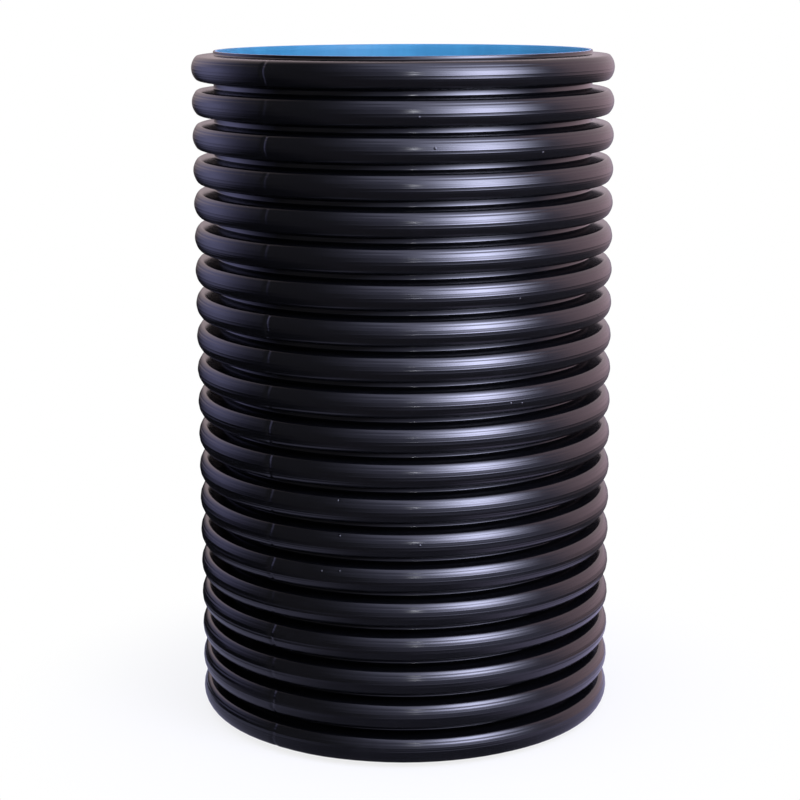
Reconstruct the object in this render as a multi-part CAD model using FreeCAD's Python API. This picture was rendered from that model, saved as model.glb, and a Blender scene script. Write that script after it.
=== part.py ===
import FreeCAD, Part
import math
import os

# Corrugated formwork pipe: a short length of twin-wall pipe, standing on its end.
# It is used as a lost form for a concrete column or footing.
# Millimetres, +Z up, origin at the centre of the lower end, which is cut square through
# the middle of a valley, as is the upper end.

# Driving dimensions

bore_diameter = 500.0
liner_wall = 2.7
corrugated_wall = 2.3
rib_count = 20
rib_pitch = 45.4
rib_height = 29.5        # from the valley floor out to the crest
valley_width = 9.4       # along the axis, between the feet of two flanks
flank_draft = 4.0        # degrees that each flank leans in towards the crest
crown_radius = 22.7      # the long arc over the crest
shoulder_radius = 6.0    # between crown and flank
foot_radius = 2.8        # between flank and valley floor

# Sizes that follow from them

bore_radius = bore_diameter / 2
liner_radius = bore_radius + liner_wall
valley_radius = liner_radius + corrugated_wall
crest_radius = valley_radius + rib_height
pipe_length = rib_count * rib_pitch


def at(radius, height):
    return FreeCAD.Vector(radius, 0, height)


def on_circle(centre, radius, angle):
    return centre + at(radius * math.cos(angle), radius * math.sin(angle))


def arc(centre, radius, start, end):
    points = [on_circle(centre, radius, start + (end - start) * share) for share in (0, 0.5, 1)]
    return Part.Arc(*points).toShape()


def line(start, end):
    return Part.LineSegment(start, end).toShape()


def first_point(edge):
    return edge.valueAt(edge.FirstParameter)


def last_point(edge):
    return edge.valueAt(edge.LastParameter)


def upper_arcs():
    # Centres, radii and angles of the crown, shoulder and foot arcs of a rib's upper half,
    # with the rib's middle at height 0. Each arc runs tangent into the next.
    draft = math.radians(flank_draft)
    outward = at(math.sin(draft), math.cos(draft))
    along_flank = at(math.cos(draft), -math.sin(draft))
    flank_foot = at(valley_radius, (rib_pitch - valley_width) / 2)
    crown_centre = at(crest_radius - crown_radius, 0)

    # The shoulder circle touches the flank from inside and lies in the crown circle.
    start = flank_foot - outward * shoulder_radius - crown_centre
    across = start.dot(along_flank)
    reach = across ** 2 - start.dot(start) + (crown_radius - shoulder_radius) ** 2
    shoulder_centre = crown_centre + start + along_flank * (math.sqrt(reach) - across)
    towards_shoulder = shoulder_centre - crown_centre
    crown_end = math.atan2(towards_shoulder.z, towards_shoulder.x)

    # The foot circle stands in the valley and touches the flank and the valley floor.
    foot_rise = foot_radius * (1 - math.sin(draft)) / math.cos(draft)
    foot_centre = at(valley_radius + foot_radius, flank_foot.z + foot_rise)
    flank_angle = math.pi / 2 - draft
    return {
        "crown": (crown_centre, crown_end),
        "shoulder": (shoulder_centre, crown_end, flank_angle),
        "foot": (foot_centre, flank_angle + math.pi, math.pi),
    }


def half_rib(depth):
    # Edges from the crest up to the valley floor, on the skin that lies depth inside the
    # outer skin. Arcs that bulge outwards shrink with depth, and the foot grows.
    arcs = upper_arcs()
    crown_centre, crown_end = arcs["crown"]
    shoulder_centre, shoulder_start, shoulder_end = arcs["shoulder"]
    foot_centre, foot_start, foot_end = arcs["foot"]
    crown = arc(crown_centre, crown_radius - depth, 0, crown_end)
    shoulder = arc(shoulder_centre, shoulder_radius - depth, shoulder_start, shoulder_end)
    foot = arc(foot_centre, foot_radius + depth, foot_start, foot_end)
    flank = line(last_point(shoulder), first_point(foot))
    return [crown, shoulder, flank, foot]


def mirrored(edge):
    return edge.mirror(at(0, 0), at(0, 1))


def rib_edges(middle, depth):
    upper = half_rib(depth)
    lower = [mirrored(edge) for edge in reversed(upper)]
    return [edge.translated(at(0, middle)) for edge in lower + upper]


def skin_edges(depth):
    # The whole wavy skin from the lower end to the upper end.
    floor_radius = valley_radius - depth
    foot_height = last_point(half_rib(depth)[-1]).z
    edges = []
    for rib in range(rib_count):
        middle = (rib + 0.5) * rib_pitch
        floor_start = at(floor_radius, 0 if rib == 0 else middle - rib_pitch + foot_height)
        edges.append(line(floor_start, at(floor_radius, middle - foot_height)))
        edges += rib_edges(middle, depth)
    edges.append(line(at(floor_radius, middle + foot_height), at(floor_radius, pipe_length)))
    return edges


def turned(edges):
    wire = Part.Wire(Part.__sortEdges__(edges))
    return Part.Face(wire).revolve(at(0, 0), at(0, 1), 360)


def corrugated_outer_wall():
    # One skin of even thickness: solid in the valleys, hollow behind every rib.
    outer = skin_edges(0)
    inner = skin_edges(corrugated_wall)
    ends = [line(at(liner_radius, height), at(valley_radius, height)) for height in (0, pipe_length)]
    return turned(outer + inner + ends)


def smooth_inner_liner():
    liner = Part.makeCylinder(liner_radius, pipe_length)
    return liner.cut(Part.makeCylinder(bore_radius, pipe_length))


def write_node(name, shape):
    assert shape.isValid() and len(shape.Solids) == 1, name
    shape.exportStep(os.path.join("parts", name + ".step"))
    print(name, round(shape.Volume / 1000), "cm3")


os.makedirs("parts", exist_ok=True)
write_node("corrugated_outer_wall", corrugated_outer_wall())
write_node("smooth_inner_liner", smooth_inner_liner())
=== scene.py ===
import bpy
import bmesh
from math import atan2, cos, degrees, exp, hypot, pi, radians, sin, sqrt
from mathutils import Matrix, Vector, noise


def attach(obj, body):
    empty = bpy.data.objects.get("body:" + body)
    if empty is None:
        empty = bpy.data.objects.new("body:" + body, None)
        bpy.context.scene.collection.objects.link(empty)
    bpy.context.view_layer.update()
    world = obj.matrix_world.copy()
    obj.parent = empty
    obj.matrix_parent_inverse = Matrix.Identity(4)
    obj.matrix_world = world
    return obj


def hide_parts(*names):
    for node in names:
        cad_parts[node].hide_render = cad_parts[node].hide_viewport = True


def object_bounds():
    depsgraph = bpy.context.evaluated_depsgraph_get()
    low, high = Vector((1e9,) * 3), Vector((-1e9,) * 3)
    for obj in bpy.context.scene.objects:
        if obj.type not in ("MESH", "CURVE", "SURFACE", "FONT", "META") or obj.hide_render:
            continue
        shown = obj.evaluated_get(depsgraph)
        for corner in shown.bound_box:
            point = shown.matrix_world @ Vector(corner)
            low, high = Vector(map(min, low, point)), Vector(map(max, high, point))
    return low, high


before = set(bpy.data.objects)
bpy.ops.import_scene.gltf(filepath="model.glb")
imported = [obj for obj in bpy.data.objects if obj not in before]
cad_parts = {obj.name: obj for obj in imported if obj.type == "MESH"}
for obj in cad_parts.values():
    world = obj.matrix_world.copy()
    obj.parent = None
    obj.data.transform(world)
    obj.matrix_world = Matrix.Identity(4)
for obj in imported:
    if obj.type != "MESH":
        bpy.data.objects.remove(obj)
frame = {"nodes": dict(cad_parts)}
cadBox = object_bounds()
scene = bpy.context.scene
print("frame loaded:", ", ".join(frame["nodes"]))


class Wire:
    # an output of a node; + - * / between wires or numbers add Math nodes
    def __init__(self, tree, socket=None):
        self.tree = tree
        self.socket = socket

    def node(self, kind, settings=None, values=None, out=0):
        made = self.tree.nodes.new(kind)
        for name, setting in (settings or {}).items():
            setattr(made, name, setting)
        for name, value in (values or {}).items():
            if isinstance(value, Wire):
                self.tree.links.new(value.socket, made.inputs[name])
            else:
                made.inputs[name].default_value = value
        return Wire(self.tree, made.outputs[out] if made.outputs else None)

    def maths(self, operation, *numbers):
        return self.node("ShaderNodeMath", {"operation": operation}, dict(enumerate(numbers)))

    def __add__(self, other):
        return self.maths("ADD", self, other)

    def __radd__(self, other):
        return self.maths("ADD", other, self)

    def __sub__(self, other):
        return self.maths("SUBTRACT", self, other)

    def __rsub__(self, other):
        return self.maths("SUBTRACT", other, self)

    def __mul__(self, other):
        return self.maths("MULTIPLY", self, other)

    def __rmul__(self, other):
        return self.maths("MULTIPLY", other, self)

    def __truediv__(self, other):
        return self.maths("DIVIDE", self, other)

    def __rtruediv__(self, other):
        return self.maths("DIVIDE", other, self)

    def between(self, low, high):
        # 0 below low, 1 above high, smooth in the middle; low may be the larger
        return self.node("ShaderNodeMapRange", {"interpolation_type": "SMOOTHSTEP"},
                         {"Value": self, "From Min": low, "From Max": high})


def startMaterial(name):
    material = bpy.data.materials.new(name)
    material.use_nodes = True
    material.node_tree.nodes.clear()
    return material, Wire(material.node_tree)


def blend(wire, factor, first, second):
    return wire.node("ShaderNodeMix", {"data_type": "RGBA"}, {0: factor, 6: first, 7: second},
                     out=2)


def noiseOn(wire, place, scale, detail=2.0, roughness=0.5):
    return wire.node("ShaderNodeTexNoise", {}, {
        "Vector": place, "Scale": scale, "Detail": detail, "Roughness": roughness})


def stretched(wire, place, scale):
    return wire.node("ShaderNodeVectorMath", {"operation": "MULTIPLY"}, {0: place, 1: scale})


def lengthOf(wire, place):
    return wire.node("ShaderNodeVectorMath", {"operation": "LENGTH"}, {0: place}, out="Value")


def heightIn(wire, place):
    return wire.node("ShaderNodeSeparateXYZ", {}, {0: place}, out="Z")


def noiseAt(x, y, z):
    return noise.noise(Vector((x, y, z)))


def fade(value, low, high):
    # 0 below low, 1 above high, straight in between; low may be the larger
    return min(1, max(0, (value - low) / (high - low)))


# the corrugated wall, in metres and degrees
wall = {
    "ribCount": 20,
    "ribPitch": 0.0454,
    "valleyWidth": 0.0094,
    "valleyRadius": 0.255,
    "crestRadius": 0.2845,
    "thickness": 0.0023,
    "crownRadius": 0.0227,
    "shoulderRadius": 0.0060,
    "footRadius": 0.0028,
    "draft": 4.0,                # of the flanks, degrees
    "crownSteps": 6,             # on half a rib
    "shoulderSteps": 4,
    "footSteps": 4,
    "seamTurn": -127.7,          # where the two mould halves meet, degrees round from +X
    "seamWidth": 4.0,            # degrees of fine columns on each seam
    "seamColumns": 12,
    "plainColumns": 40,          # between one seam and the other
    "seamWander": 0.0022,
    "grooveDepth": 0.00095,      # the seam is a groove with a low ridge beside it
    "groovePlace": -0.0008,
    "grooveSpread": 0.0026,
    "ridgeHeight": 0.00024,
    "ridgePlace": 0.0046,
    "ridgeSpread": 0.0016,
    "unevenness": 0.00022,       # of the crests, in and out
    "flankWave": 0.0005,         # of the flanks, up and down
    "cutBevel": 0.0009,
    "welded": 0.00002,           # points closer than this are one
}


def halfRib(depth):
    # centre, radius, start and end of each arc, for the skin this deep in the wall;
    # a rib's middle is z = 0
    draft = radians(wall["draft"])
    crown, shoulder, foot = wall["crownRadius"], wall["shoulderRadius"], wall["footRadius"]
    crownCentre = Vector((wall["crestRadius"] - crown, 0))
    footPoint = Vector((wall["valleyRadius"], (wall["ribPitch"] - wall["valleyWidth"]) / 2))
    outward = Vector((sin(draft), cos(draft)))
    along = Vector((cos(draft), -sin(draft)))
    start = footPoint - outward * shoulder - crownCentre
    across = start.dot(along)
    reach = sqrt(across ** 2 - start.length_squared + (crown - shoulder) ** 2) - across
    toShoulder = start + along * reach
    shoulderCentre = crownCentre + toShoulder
    crownEnd = atan2(toShoulder.y, toShoulder.x)
    footCentre = Vector((footPoint.x + foot, footPoint.y + foot * (1 - sin(draft)) / cos(draft)))
    return {
        "crown": (crownCentre, crown - depth, 0, crownEnd),
        "shoulder": (shoulderCentre, shoulder - depth, crownEnd, pi / 2 - draft),
        "foot": (footCentre, foot + depth, 3 * pi / 2 - draft, pi),
    }


def drawArc(bm, arc, steps):
    # one corner point turned about its arc's centre
    centre, radius, begin, end = arc
    point = (centre.x + radius * cos(begin), 0, centre.y + radius * sin(begin))
    first = bmesh.ops.create_vert(bm, co=point)["vert"][0]
    turned = bmesh.ops.spin(bm, geom=[first], cent=(centre.x, 0, centre.y), axis=(0, -1, 0),
                            angle=end - begin, steps=steps)
    last = [item for item in turned["geom_last"] if isinstance(item, bmesh.types.BMVert)][0]
    return first, last


def drawSkin(bm, depth, steps):
    # the line of one skin from the first cut end to the last
    arcs = halfRib(depth)
    ends = {name: drawArc(bm, arcs[name], steps[name]) for name in arcs}
    floorPlace = (wall["valleyRadius"] - depth, 0, wall["ribPitch"] / 2)
    floor = bmesh.ops.create_vert(bm, co=floorPlace)["vert"][0]
    bm.edges.new((ends["shoulder"][1], ends["foot"][0]))
    bm.edges.new((ends["foot"][1], floor))
    bmesh.ops.mirror(bm, geom=bm.verts[:] + bm.edges[:], axis="Z", merge_dist=0)
    oneRib = bm.verts[:] + bm.edges[:]
    for number in range(1, wall["ribCount"]):
        copy = bmesh.ops.duplicate(bm, geom=oneRib)["geom"]
        bmesh.ops.translate(bm, vec=(0, 0, number * wall["ribPitch"]),
                            verts=[item for item in copy if isinstance(item, bmesh.types.BMVert)])
    bmesh.ops.translate(bm, vec=(0, 0, wall["ribPitch"] / 2), verts=bm.verts)
    bmesh.ops.remove_doubles(bm, verts=bm.verts, dist=wall["welded"])


def openEnds(bm):
    ends = [vert for vert in bm.verts if len(vert.link_edges) == 1]
    return sorted(ends, key=lambda vert: vert.co.z)


def spinRound(bm, sectors):
    # the whole section turned about the pipe's axis, sector after sector
    front = bm.verts[:] + bm.edges[:]
    for angle, steps in sectors:
        turned = bmesh.ops.spin(bm, geom=front, cent=(0, 0, 0), axis=(0, 0, 1),
                                angle=radians(angle), steps=steps, use_merge=angle == 360)
        front = turned["geom_last"]
    bmesh.ops.remove_doubles(bm, verts=bm.verts, dist=wall["welded"])
    bmesh.ops.recalc_face_normals(bm, faces=bm.faces)


def softenCuts(bm, width):
    # the saw's edges, at both ends
    length = wall["ribCount"] * wall["ribPitch"]
    edges = []
    for edge in bm.edges:
        heights = [vert.co.z for vert in edge.verts]
        atEnd = max(heights) < wall["welded"] / 2 or min(heights) > length - wall["welded"] / 2
        if atEnd and len(edge.link_faces) == 2 and edge.calc_face_angle(0) > 1:
            edges.append(edge)
    bmesh.ops.bevel(bm, geom=edges, offset=width, affect="EDGES", segments=2, profile=0.5,
                    material=-1)


def finishPiece(bm, name, material):
    mesh = bpy.data.meshes.new(name)
    bm.to_mesh(mesh)
    bm.free()
    piece = bpy.data.objects.new(name, mesh)
    scene.collection.objects.link(piece)
    mesh.materials.append(material)
    mesh.polygons.foreach_set("use_smooth", [True] * len(mesh.polygons))
    mesh.update()
    return piece


def turnFrom(point, turn):
    # degrees from a point to a turn about the axis
    away = degrees(atan2(point.y, point.x)) - turn
    return (away + 180) % 360 - 180


def relief(point):
    # how far a point of the rib stands in from its drawn radius; the numbers that multiply
    # rib and side only pick a different piece of noise for each
    across = hypot(point.x, point.y)
    rib = int(point.z / wall["ribPitch"])
    inward = (0.5 + 0.5 * noiseAt(point.x * 7, point.y * 7, rib * 3.7)) * wall["unevenness"]
    for side in (0, 180):
        away = turnFrom(point, wall["seamTurn"] + side) * radians(1) * across
        away += wall["seamWander"] * noiseAt(rib * 1.7, point.z * 90, side)
        strength = 0.95 + noiseAt(rib * 1.7 + 0.4, side * 0.13, 2.5)
        groove = exp(-((away - wall["groovePlace"]) / wall["grooveSpread"]) ** 2)
        ridge = exp(-((away - wall["ridgePlace"]) / wall["ridgeSpread"]) ** 2)
        inward += (groove * wall["grooveDepth"] - ridge * wall["ridgeHeight"]) * strength
    return fade(across, 0.257, 0.269) * inward


def lift(point):
    # the flanks and shoulders run a little up and down
    across = hypot(point.x, point.y)
    onFlank = fade(across, 0.256, 0.266) * fade(across, 0.2843, 0.2803)
    rib = int(point.z / wall["ribPitch"])
    upperFlank = 5 if point.z % wall["ribPitch"] > wall["ribPitch"] / 2 else 0
    wave = noiseAt(point.x * 13, point.y * 13, rib * 2.3 + upperFlank)
    return onFlank * wave * wall["flankWave"]


# pimples in the skin: turn round the axis in degrees, distance from it, height,
# how far out (+) or in (-), width
marks = [
    (-107.04, 0.2805, 0.3534, -0.0009, 0.0022),
    (-107.10, 0.2809, 0.3074, 0.0010, 0.0024),
    (-107.17, 0.2814, 0.2611, 0.0009, 0.0022),
    (-112.13, 0.2825, 0.2590, 0.0009, 0.0022),
    (-110.40, 0.2682, 0.5380, 0.0010, 0.0026),
    (-109.00, 0.2654, 0.4928, -0.0010, 0.0026),
    (-25.74, 0.2844, 0.5654, 0.0010, 0.0022),
    (-86.13, 0.2841, 0.8357, 0.0008, 0.0020),
    (-82.17, 0.2842, 0.7978, 0.0008, 0.0020),
    (-51.94, 0.2834, 0.7874, 0.0008, 0.0020),
    (-61.53, 0.2843, 0.4736, 0.0008, 0.0020),
    (-58.11, 0.2840, 0.4717, 0.0008, 0.0020),
    (-86.09, 0.2843, 0.2981, 0.0008, 0.0020),
    (-58.92, 0.2834, 0.6059, 0.0008, 0.0020),
]

print("drawing the corrugated wall")
bm = bmesh.new()
drawSkin(bm, 0, {"crown": wall["crownSteps"], "shoulder": wall["shoulderSteps"],
                 "foot": wall["footSteps"]})
inside = bmesh.new()
drawSkin(inside, wall["thickness"], {"crown": 2, "shoulder": 1, "foot": 1})
hollow = bpy.data.meshes.new("hollow of the ribs")
inside.to_mesh(hollow)
inside.free()
bm.from_mesh(hollow)
bpy.data.meshes.remove(hollow)
bm.verts.ensure_lookup_table()
lowest, nextLowest, nextHighest, highest = openEnds(bm)
bm.edges.new((lowest, nextLowest))
bm.edges.new((nextHighest, highest))
toSeam = Matrix.Rotation(radians(wall["seamTurn"] - wall["seamWidth"] / 2), 3, "Z")
bmesh.ops.rotate(bm, cent=(0, 0, 0), matrix=toSeam, verts=bm.verts)
seam = (wall["seamWidth"], wall["seamColumns"])
plain = (180 - wall["seamWidth"], wall["plainColumns"])
spinRound(bm, (seam, plain, seam, plain))
softenCuts(bm, wall["cutBevel"])
for vert in bm.verts:
    across = hypot(vert.co.x, vert.co.y)
    closer = (across - relief(vert.co)) / across
    vert.co.z += lift(vert.co)
    vert.co.x *= closer
    vert.co.y *= closer


def sawnEnds(height):
    # 1 on the two sawn faces, where the materials paint a reflection of the light along the cut
    # edge
    length = wall["ribCount"] * wall["ribPitch"]
    return height.between(length - 0.0003, length - 0.0001) + height.between(0.0003, 0.0001)


def wallMaterial():
    finish = {
        "colour": (0.0021, 0.0022, 0.0027, 1),
        "dusty": (0.007, 0.0072, 0.0085, 1),
        "dustShare": 0.35,
        # the sawn faces: a paler cut, with a painted reflection of the light along the rim in its
        # lavender tint
        "sawnAndSheen": (0.16, 0.15, 0.18, 1),
        "roughness": 0.13,
        "rubbed": 0.04,              # added on the crests
        "lineDepth": 0.00022,
        "drawnDepth": 0.00012,       # the die's fine rings
        "rippleDepth": 0.00010,
        "grainDepth": 0.000008,
        # lines round each rib: place above its middle, half width, share of the depth
        "lines": ((0.0104, 0.0018, -1.0), (0.0052, 0.0014, 0.5), (0.0, 0.0014, 0.9),
                  (-0.0041, 0.0014, 0.7), (-0.0085, 0.0016, -0.5)),
    }
    material, tree = startMaterial("black ribbed wall")
    place = tree.node("ShaderNodeTexCoord", out="Object")
    height = heightIn(tree, place)
    overCrest = (tree.maths("FRACT", height / wall["ribPitch"]) - 0.5) * wall["ribPitch"]
    # crests are duller than valleys, and the rings are fainter in the valleys
    rubbed = lengthOf(tree, stretched(tree, place, (1, 1, 0))).between(0.256, 0.274)
    relieved = 0.0
    for turn, across, up, depth, width in marks:
        middle = (across * cos(radians(turn)), across * sin(radians(turn)), up)
        away = tree.node("ShaderNodeVectorMath", {"operation": "DISTANCE"},
                         {0: place, 1: middle}, out="Value")
        relieved = away.between(width, 0) * depth + relieved
    for middle, width, share in finish["lines"]:
        line = tree.maths("ABSOLUTE", overCrest - middle).between(width, 0)
        relieved = line * (share * finish["lineDepth"]) + relieved
    rings = (noiseOn(tree, stretched(tree, place, (0.6, 0.6, 270)), 1.0) * finish["drawnDepth"]
             + noiseOn(tree, stretched(tree, place, (1.4, 1.4, 40)), 1.0) * finish["rippleDepth"]
             + noiseOn(tree, place, 900) * finish["grainDepth"])
    bump = tree.node("ShaderNodeBump", {}, {
        "Strength": 1.0, "Distance": 1.0, "Height": rings * (rubbed * 0.85 + 0.15) + relieved})
    dust = noiseOn(tree, stretched(tree, place, (30, 30, 60)), 1.0, 6, 0.7).between(0.52, 0.82)
    sawnAndSheen = sawnEnds(height)
    colour = blend(tree, dust * finish["dustShare"], finish["colour"], finish["dusty"])
    # painted reflection: the sawn faces take a pale lavender that stands for the light along the
    # cut edge
    colour = blend(tree, sawnAndSheen, colour, finish["sawnAndSheen"])
    cloud = (noiseOn(tree, place, 11, 3) - 0.5) * 0.05
    roughness = (finish["roughness"] + rubbed * finish["rubbed"] + dust * 0.05 + cloud
                 + sawnAndSheen * 0.35)
    shader = tree.node("ShaderNodeBsdfPrincipled", {}, {
        "Base Color": colour, "Roughness": roughness, "IOR": 1.62, "Normal": bump})
    tree.node("ShaderNodeOutputMaterial", {}, {"Surface": shader})
    return material


corrugatedWall = finishPiece(bm, "ribbed_outer_wall", wallMaterial())
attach(corrugatedWall, "root")
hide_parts("corrugated_outer_wall")
print("ribbed outer wall:", len(corrugatedWall.data.polygons), "faces")

# the smooth liner
liner = {
    "boreRadius": 0.25,
    "outerRadius": 0.2527,
    "length": 0.908,
    "rows": 120,
    "columns": 144,
    "give": 0.00022,             # outwards over each hollow rib
    "cutBevel": 0.0008,
}

print("drawing the liner")
bm = bmesh.new()
corners = [bmesh.ops.create_vert(bm, co=place)["vert"][0] for place in (
    (liner["boreRadius"], 0, 0), (liner["boreRadius"], 0, liner["length"]),
    (liner["outerRadius"], 0, liner["length"]), (liner["outerRadius"], 0, 0))]
sides = [bm.edges.new((corners[number - 1], corners[number])) for number in range(4)]
upright = [edge for edge in sides if edge.calc_length() > 0.1]
bmesh.ops.subdivide_edges(bm, edges=upright, cuts=liner["rows"] - 1)
spinRound(bm, ((360, liner["columns"]),))
softenCuts(bm, liner["cutBevel"])
for vert in bm.verts:
    across = hypot(vert.co.x, vert.co.y)
    if across < (liner["boreRadius"] + liner["outerRadius"]) / 2:
        overRib = 0.5 - 0.5 * cos(2 * pi * vert.co.z / wall["ribPitch"])
        uneven = 0.5 + 0.5 * noiseAt(vert.co.x * 5, vert.co.y * 5, vert.co.z * 3)
        wider = 1 + liner["give"] * (overRib + 0.7 * uneven) / across
        vert.co.x *= wider
        vert.co.y *= wider


def linerMaterial():
    finish = {
        "colour": (0.050, 0.285, 0.46, 1),
        "paler": (0.064, 0.34, 0.53, 1),
        # the sawn faces: a painted reflection, pale lavender for the light along the cut edge
        "sawnAndSheen": (0.42, 0.55, 0.78, 1),
        "roughness": 0.46,
        "streakDepth": 0.00012,
        "ringDepth": 0.00003,
    }
    material, tree = startMaterial("blue satin liner")
    place = tree.node("ShaderNodeTexCoord", out="Object")
    sawnAndSheen = sawnEnds(heightIn(tree, place))
    streaks = noiseOn(tree, stretched(tree, place, (26, 26, 0.8)), 1.0, 4, 0.6)
    rings = noiseOn(tree, stretched(tree, place, (4, 4, 240)), 1.0)
    cloud = (noiseOn(tree, place, 9, 3) - 0.5) * 0.12
    colour = blend(tree, streaks.between(0.35, 0.75), finish["colour"], finish["paler"])
    # painted reflection on the sawn faces
    colour = blend(tree, sawnAndSheen, colour, finish["sawnAndSheen"])
    bump = tree.node("ShaderNodeBump", {}, {
        "Strength": 1.0, "Distance": 1.0,
        "Height": streaks * finish["streakDepth"] + rings * finish["ringDepth"]})
    shader = tree.node("ShaderNodeBsdfPrincipled", {}, {
        "Base Color": colour, "Roughness": finish["roughness"] + cloud + sawnAndSheen * 0.25,
        "IOR": 1.45, "Normal": bump})
    tree.node("ShaderNodeOutputMaterial", {}, {"Surface": shader})
    return material


smoothLiner = finishPiece(bm, "smooth_inner_liner_wall", linerMaterial())
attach(smoothLiner, "root")
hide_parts("smooth_inner_liner")
print("smooth inner liner:", len(smoothLiner.data.polygons), "faces")

# the studio: floor, room and camera
studio = {
    "floorDrop": 0.0006,             # below the pipe's foot
    "groundRadius": 9.0,
    "ground": (0.82, 0.82, 0.81, 1),
    "mottle": (0.7, 0.7, 0.7, 1),
    "standRadius": 0.60,             # a disc round the foot, seen by reflections only
    # the stand's colours are a painted reflection of the lit floor, glowing brighter at the sides
    # where the lamps fall
    "standGlowFront": (0.09, 0.09, 0.13, 1),
    "standGlowRight": (0.56, 0.52, 0.82, 1),
    "standGlowLeft": (0.30, 0.30, 0.46, 1),
    "white": (1, 1, 1, 1),
    "ambient": (0.068, 0.066, 0.074, 1),
    "shade": (0.068, 0.063, 0.078, 1),
    "darkest": (0.012, 0.012, 0.016, 1),
    "ceiling": (1.3, 1.32, 1.9, 1),
    "spill": (0.52, 0.53, 0.80, 1),
    "evenLeft": (1.05, 1.10, 1.45, 1),
    "evenRight": (0.28, 0.28, 0.26, 1),
    "evenShare": 0.85,
    "behind": (0.86, 0.70, 0.74, 1),
    "backdropFront": (0.36, 0.33, 0.46, 1),
    "backdrop": (0.92, 0.66, 0.76, 1),
    "laterBounces": 0.75,            # how far they are dimmed
    "cameraPlace": (0, -2.6608, 0.9935),
    "cameraTilt": 0.1791,            # down, radians
    "cameraTurn": 0.0020,
    "cameraRoll": -0.0037,
    "lens": 87.967,
    "lensShift": -0.0764,
}


def groundMaterial():
    # white to the camera, a little less so round the foot, where the pipe's shadow shows
    material, tree = startMaterial("pale floor")
    place = tree.node("ShaderNodeTexCoord", out="Object")
    rays = tree.node("ShaderNodeLightPath", out="Is Camera Ray")
    gloss = tree.node("ShaderNodeLightPath", out="Is Glossy Ray")
    through = tree.node("ShaderNodeLightPath", out="Is Transmission Ray")
    far = lengthOf(tree, place).between(0.26, 0.60) * 0.20 + 0.80
    seen = tree.maths("MINIMUM", rays + gloss * 0.25 + through, 1.0) * far
    colour = blend(tree, noiseOn(tree, place, 3, 3) * 0.03, studio["ground"], studio["mottle"])
    matt = tree.node("ShaderNodeBsdfDiffuse", {}, {"Color": colour})
    white = tree.node("ShaderNodeEmission", {}, {"Color": studio["white"], "Strength": 1.0})
    mixed = tree.node("ShaderNodeMixShader", {}, {0: seen, 1: matt, 2: white})
    tree.node("ShaderNodeOutputMaterial", {}, {"Surface": mixed})
    return material


def layDisc(name, radius, material):
    bm = bmesh.new()
    bmesh.ops.create_circle(bm, cap_ends=True, segments=96, radius=radius)
    bmesh.ops.recalc_face_normals(bm, faces=bm.faces)
    for face in bm.faces:
        if face.normal.z < 0:
            face.normal_flip()
    bmesh.ops.translate(bm, vec=(0, 0, cadBox[0][2] - studio["floorDrop"]), verts=bm.verts)
    disc = finishPiece(bm, name, material)
    return disc


def standMaterial():
    # a glowing disc that paints the reflection of the lit floor round the foot: brighter at the
    # sides, where the lamps fall, than in front
    material, tree = startMaterial("lit stand")
    place = tree.node("ShaderNodeTexCoord", out="Object")
    sideways = tree.node("ShaderNodeSeparateXYZ", {}, {0: place}, out="X")
    near = lengthOf(tree, place).between(studio["standRadius"], 0.42)
    colour = blend(tree, sideways.between(0.12, 0.36), studio["standGlowFront"],
                   studio["standGlowRight"])
    colour = blend(tree, sideways.between(-0.12, -0.34), colour, studio["standGlowLeft"])
    glow = tree.node("ShaderNodeEmission", {}, {"Color": colour, "Strength": 1.0})
    clear = tree.node("ShaderNodeBsdfTransparent")
    mixed = tree.node("ShaderNodeMixShader", {}, {0: near, 1: clear, 2: glow})
    tree.node("ShaderNodeOutputMaterial", {}, {"Surface": mixed})
    return material


ground = layDisc("ground", studio["groundRadius"], groundMaterial())
ground.visible_glossy = False
# a glowing disc round the foot, seen only in reflections, that paints the lit floor's reflection
stand = layDisc("stand", studio["standRadius"], standMaterial())
stand.visible_camera = False
stand.visible_diffuse = False
stand.visible_shadow = False
print("floor laid")

# the room: a pale backdrop behind and to the right, dim on the near side
world = bpy.data.worlds.new("studio room")
scene.world = world
world.use_nodes = True
world.node_tree.nodes.clear()
room = Wire(world.node_tree)
towards = room.node("ShaderNodeTexCoord", out="Generated")
rise = heightIn(room, towards)


def facing(turn, tilt):
    # how straight a direction looks at a turn and a tilt, in degrees;
    # turn 0 is the near side and 90 the right
    turn, tilt = radians(turn), radians(tilt)
    straight = (sin(turn) * cos(tilt), -cos(turn) * cos(tilt), sin(tilt))
    return room.node("ShaderNodeVectorMath", {"operation": "DOT_PRODUCT"},
                     {0: towards, 1: straight}, out="Value")


# backdrop: far right, from below the foot to overhead; behind: high at the back;
# spill and ceiling: the near right and overhead, where the softbox lights the room
flat = room.maths("SQRT", 1 - rise * rise)
aside = facing(128, 0) / room.maths("MAXIMUM", flat, 0.05)
backdrop = aside.between(0.48, 0.86) * rise.between(-0.48, 0.38) * rise.between(1.05, 0.5)
behind = facing(180, 45).between(0.52, 0.92)
spill = facing(42, 32).between(0.15, 1.0)
ceiling = facing(48, 62).between(0.70, 1.0)
dim = blend(room, rise.between(-0.05, -0.35), studio["ambient"], studio["shade"])
dim = blend(room, facing(-130, -30).between(0.35, 0.8), dim, studio["darkest"])
dim = blend(room, spill, dim, studio["spill"])
dim = blend(room, ceiling, dim, studio["ceiling"])

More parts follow.
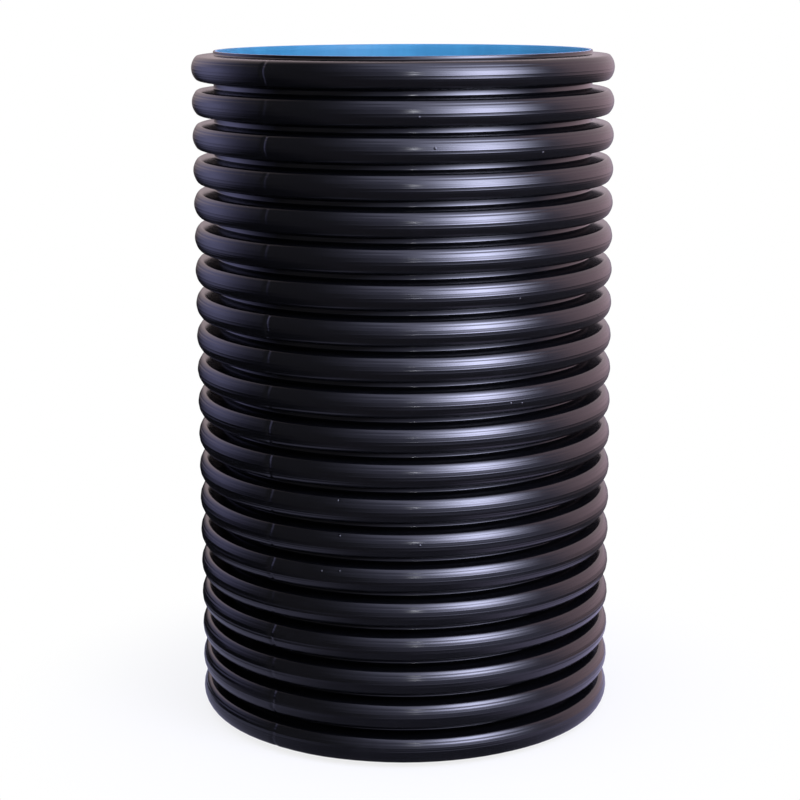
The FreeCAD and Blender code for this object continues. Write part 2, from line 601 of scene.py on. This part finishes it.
# diffuse rays get an even light, later bounces a darker room, and the camera white
diffuseRay = room.node("ShaderNodeLightPath", out="Is Diffuse Ray")
cameraRay = room.node("ShaderNodeLightPath", out="Is Camera Ray")
glossyRay = room.node("ShaderNodeLightPath", out="Is Glossy Ray")
transmissionRay = room.node("ShaderNodeLightPath", out="Is Transmission Ray")
shown = room.maths("MINIMUM", backdrop * (glossyRay + transmissionRay) + backdrop, 1.0)
wallLight = blend(room, aside.between(0.70, 1.0), studio["backdropFront"], studio["backdrop"])
light = blend(room, shown, dim, wallLight)
leftHalf = facing(-90, 30).between(-0.6, 0.8)
evenLight = blend(room, leftHalf, studio["evenRight"], studio["evenLeft"])
light = blend(room, behind, light, studio["behind"])
light = blend(room, diffuseRay * studio["evenShare"], light, evenLight)
bounces = room.node("ShaderNodeLightPath", out="Ray Depth")
later = bounces.between(2.0, 3.0) * (1 - diffuseRay) * studio["laterBounces"]
light = blend(room, later, light, studio["darkest"])
light = blend(room, cameraRay, light, studio["white"])
background = room.node("ShaderNodeBackground", {}, {"Color": light, "Strength": 1.0})
room.node("ShaderNodeOutputWorld", {}, {"Surface": background})

# the lamps; one with a fall is brightest in its middle, as a softbox is, and halo is the
# share of its light that reaches further out
lamps = {
    "key softbox": {
        "place": (0.65, -0.79, 0.95), "aim": (0.0, 0.0, 0.47), "size": (1.6, 1.6),
        "spread": 100, "fall": 0.24, "halo": 0.26, "colour": (0.70, 0.725, 1.0), "watts": 45},
    "small lamp": {
        "place": (0.25, -2.67, 1.18), "aim": (0, 0, 0.6), "size": (0.035, 0.035),
        "spread": 180, "fall": 0, "colour": (0.92, 0.94, 1.0), "watts": 1.2},
    "left panel": {
        "place": (-1.04, 0.50, 0.90), "aim": (-0.1, 0.0, 0.84), "size": (2.2, 1.5),
        "spread": 84, "fall": 0.52, "halo": 0, "colour": (0.54, 0.54, 1.0), "watts": 2.2},
}


def softenGlass(data, lamp):
    # measured in metres from the middle of the lamp's face
    data.use_nodes = True
    data.node_tree.nodes.clear()
    glass = Wire(data.node_tree)
    corner = glass.node("ShaderNodeNewGeometry", out="Parametric")
    middle = glass.node("ShaderNodeVectorMath", {"operation": "SUBTRACT"},
                        {0: corner, 1: (0.5, 0.5, 0)})
    metres = stretched(glass, middle, (lamp["size"][0], lamp["size"][1], 0))
    square = glass.node("ShaderNodeVectorMath", {"operation": "DOT_PRODUCT"},
                        {0: metres, 1: metres}, out="Value")
    core = glass.maths("EXPONENT", square * (-0.5 / lamp["fall"] ** 2))
    halo = glass.maths("EXPONENT", square * (-0.15 / lamp["fall"] ** 2))
    strength = core * (1 - lamp["halo"]) + halo * lamp["halo"]
    lit = glass.node("ShaderNodeEmission", {}, {"Color": (1, 1, 1, 1), "Strength": strength})
    glass.node("ShaderNodeOutputLight", {}, {"Surface": lit})


for name, lamp in lamps.items():
    data = bpy.data.lights.new(name, "AREA")
    data.shape = "RECTANGLE"
    data.size, data.size_y = lamp["size"]
    data.color = lamp["colour"]
    data.energy = lamp["watts"]
    data.spread = radians(lamp["spread"])
    if lamp["fall"]:
        softenGlass(data, lamp)
    shone = bpy.data.objects.new(name, data)
    shone.location = lamp["place"]
    aim = Vector(lamp["aim"]) - Vector(lamp["place"])
    shone.rotation_euler = aim.to_track_quat("-Z", "Y").to_euler()
    shone.visible_camera = False
    scene.collection.objects.link(shone)
print("lamps set:", ", ".join(lamps))

# the camera stands a little above the rim and looks down on it
cameraData = bpy.data.cameras.new("camera")
cameraData.lens = studio["lens"]
cameraData.shift_y = studio["lensShift"]
cameraData.sensor_width = 36
cameraData.clip_end = 100
camera = bpy.data.objects.new("camera", cameraData)
camera.location = studio["cameraPlace"]
looking = (Matrix.Rotation(studio["cameraTurn"], 3, "Z")
           @ Matrix.Rotation(pi / 2 - studio["cameraTilt"], 3, "X")
           @ Matrix.Rotation(studio["cameraRoll"], 3, "Z"))
camera.rotation_euler = looking.to_euler()
scene.collection.objects.link(camera)
scene.camera = camera

scene.view_settings.view_transform = "Standard"
